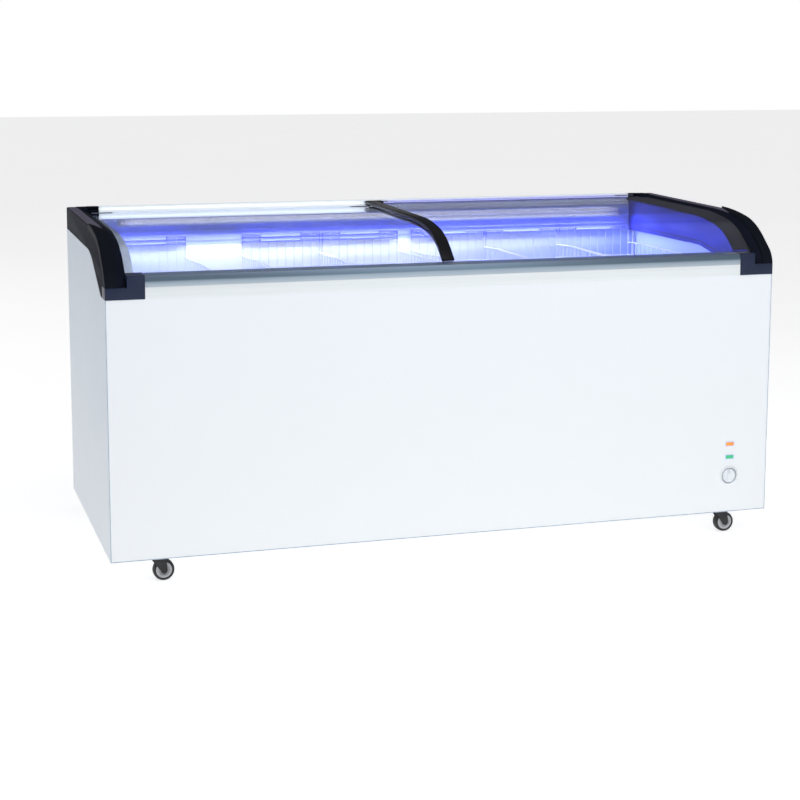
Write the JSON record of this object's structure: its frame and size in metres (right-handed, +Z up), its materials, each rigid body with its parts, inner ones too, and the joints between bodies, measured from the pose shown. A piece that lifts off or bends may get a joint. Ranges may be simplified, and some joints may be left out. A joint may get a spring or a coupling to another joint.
{
  "type": "chest freezer",
  "caption": "Display chest freezer on swivel casters with curved glass lids that slide sideways over hanging baskets.",
  "frame": {"origin": "on the floor, under the middle of the cabinet", "axes": "+Z up, +X to the right along the cabinet's length as seen from the front, front faces -Y"},
  "size_m": [1.85, 0.8001, 0.906],
  "materials": {
    "white_steel": "satin powder coat",
    "side_steel": "satin powder coat",
    "galvanised": "matt zinc",
    "foam": "matt foam",
    "liner_white": "semi gloss",
    "white_plastic": "semi gloss",
    "copper_tube": "satin",
    "rail_aluminium": "satin anodised",
    "black_plastic": "fine textured",
    "tube_light": "opal",
    "grey_plastic": "matt",
    "black_steel": "gloss black",
    "rubber_feet": "matt",
    "orange_lens": "clear lens",
    "green_lens": "clear lens",
    "lid_glass": "clear tempered",
    "nylon": "matt",
    "basket_wire": "white dipped",
    "caster_steel": "satin black",
    "wheel_rubber": "matt"
  },
  "bodies": {
    "cabinet": {"front_panel": "white_steel", "left_side_panel": "side_steel", "right_side_panel": "side_steel", "rear_panel": "white_steel", "base_pan": "galvanised", "foam_core": "foam", "liner": "liner_white", "liner_breaker": "white_plastic", "evaporator_coil": "copper_tube", "basket_ledges": "rail_aluminium", "front_rail": "rail_aluminium", "front_rail_trim": "white_plastic", "rear_rail": "white_plastic", "left_end_frame": "black_plastic", "right_end_frame": "black_plastic", "left_shoulder": "black_plastic", "right_shoulder": "black_plastic", "left_front_corner": "black_plastic", "right_front_corner": "black_plastic", "left_rear_corner": "black_plastic", "right_rear_corner": "black_plastic", "light_holder": "white_plastic", "light_tube": "tube_light", "drain_plug": "grey_plastic", "drain_outlet": "grey_plastic", "cable_gland": "black_plastic", "rear_grille": "grey_plastic", "compressor": "black_steel", "compressor_feet": "rubber_feet", "condenser": "black_steel", "fan_shroud": "galvanised", "fan_motor": "galvanised", "thermostat_body": "white_plastic", "thermostat_bezel": "white_plastic", "orange_lamp": "orange_lens", "green_lamp": "green_lens", "caster_mounts": "caster_steel"},
    "left_lid": {"left_glass": "lid_glass", "left_lid_trim": "black_plastic", "left_lid_runners": "nylon"},
    "right_lid": {"right_glass": "lid_glass", "right_lid_strip": "black_plastic", "right_lid_runners": "nylon", "right_lid_block": "black_plastic"},
    "fan": {"fan_blades": "grey_plastic"},
    "knob": {"thermostat_knob": "white_plastic"},
    "basket_1": {"basket_1": "basket_wire"},
    "basket_2": {"basket_2": "basket_wire"},
    "basket_3": {"basket_3": "basket_wire"},
    "basket_4": {"basket_4": "basket_wire"},
    "basket_5": {"basket_5": "basket_wire"},
    "basket_6": {"basket_6": "basket_wire"},
    "caster_front_left": {"fork_front_left": "caster_steel"},
    "wheel_front_left": {"wheel_front_left": "wheel_rubber"},
    "caster_front_right": {"fork_front_right": "caster_steel"},
    "wheel_front_right": {"wheel_front_right": "wheel_rubber"},
    "caster_rear_left": {"fork_rear_left": "caster_steel"},
    "wheel_rear_left": {"wheel_rear_left": "wheel_rubber"},
    "caster_rear_right": {"fork_rear_right": "caster_steel"},
    "wheel_rear_right": {"wheel_rear_right": "wheel_rubber"}
  },
  "joints": [
    {"name": "left_lid_slide", "type": "slide", "parent": "cabinet", "child": "left_lid", "axis": [1, 0, 0], "range_m": [0, 0.82]},
    {"name": "right_lid_slide", "type": "slide", "parent": "cabinet", "child": "right_lid", "axis": [1, 0, 0], "range_m": [-0.83, 0]},
    {"name": "fan_spin", "type": "hinge", "parent": "cabinet", "child": "fan", "pos_m": [0.75, -0.132, 0.2], "axis": [0, 1, 0], "continuous": true},
    {"name": "thermostat_turn", "type": "hinge", "parent": "cabinet", "child": "knob", "pos_m": [0.81, -0.39, 0.174], "axis": [0, -1, 0], "range_deg": [-120, 120]},
    {"name": "basket_1_lift", "type": "slide", "parent": "cabinet", "child": "basket_1", "axis": [0, 0, 1], "range_m": [0, 0.02]},
    {"name": "basket_2_lift", "type": "slide", "parent": "cabinet", "child": "basket_2", "axis": [0, 0, 1], "range_m": [0, 0.02]},
    {"name": "basket_3_lift", "type": "slide", "parent": "cabinet", "child": "basket_3", "axis": [0, 0, 1], "range_m": [0, 0.02]},
    {"name": "basket_4_lift", "type": "slide", "parent": "cabinet", "child": "basket_4", "axis": [0, 0, 1], "range_m": [0, 0.02]},
    {"name": "basket_5_lift", "type": "slide", "parent": "cabinet", "child": "basket_5", "axis": [0, 0, 1], "range_m": [0, 0.02]},
    {"name": "basket_6_lift", "type": "slide", "parent": "cabinet", "child": "basket_6", "axis": [0, 0, 1], "range_m": [0, 0.02]},
    {"name": "swivel_front_left", "type": "hinge", "parent": "cabinet", "child": "caster_front_left", "pos_m": [-0.803, -0.345, 0.06], "axis": [0, 0, 1], "continuous": true},
    {"name": "roll_front_left", "type": "hinge", "parent": "caster_front_left", "child": "wheel_front_left", "pos_m": [-0.783, -0.345, 0.028], "axis": [0, 1, 0], "continuous": true},
    {"name": "swivel_front_right", "type": "hinge", "parent": "cabinet", "child": "caster_front_right", "pos_m": [0.803, -0.345, 0.06], "axis": [0, 0, 1], "continuous": true},
    {"name": "roll_front_right", "type": "hinge", "parent": "caster_front_right", "child": "wheel_front_right", "pos_m": [0.823, -0.345, 0.028], "axis": [0, 1, 0], "continuous": true},
    {"name": "swivel_rear_left", "type": "hinge", "parent": "cabinet", "child": "caster_rear_left", "pos_m": [-0.803, 0.345, 0.06], "axis": [0, 0, 1], "continuous": true},
    {"name": "roll_rear_left", "type": "hinge", "parent": "caster_rear_left", "child": "wheel_rear_left", "pos_m": [-0.783, 0.345, 0.028], "axis": [0, 1, 0], "continuous": true},
    {"name": "swivel_rear_right", "type": "hinge", "parent": "cabinet", "child": "caster_rear_right", "pos_m": [0.803, 0.345, 0.06], "axis": [0, 0, 1], "continuous": true},
    {"name": "roll_rear_right", "type": "hinge", "parent": "caster_rear_right", "child": "wheel_rear_right", "pos_m": [0.823, 0.345, 0.028], "axis": [0, 1, 0], "continuous": true}
  ]
}
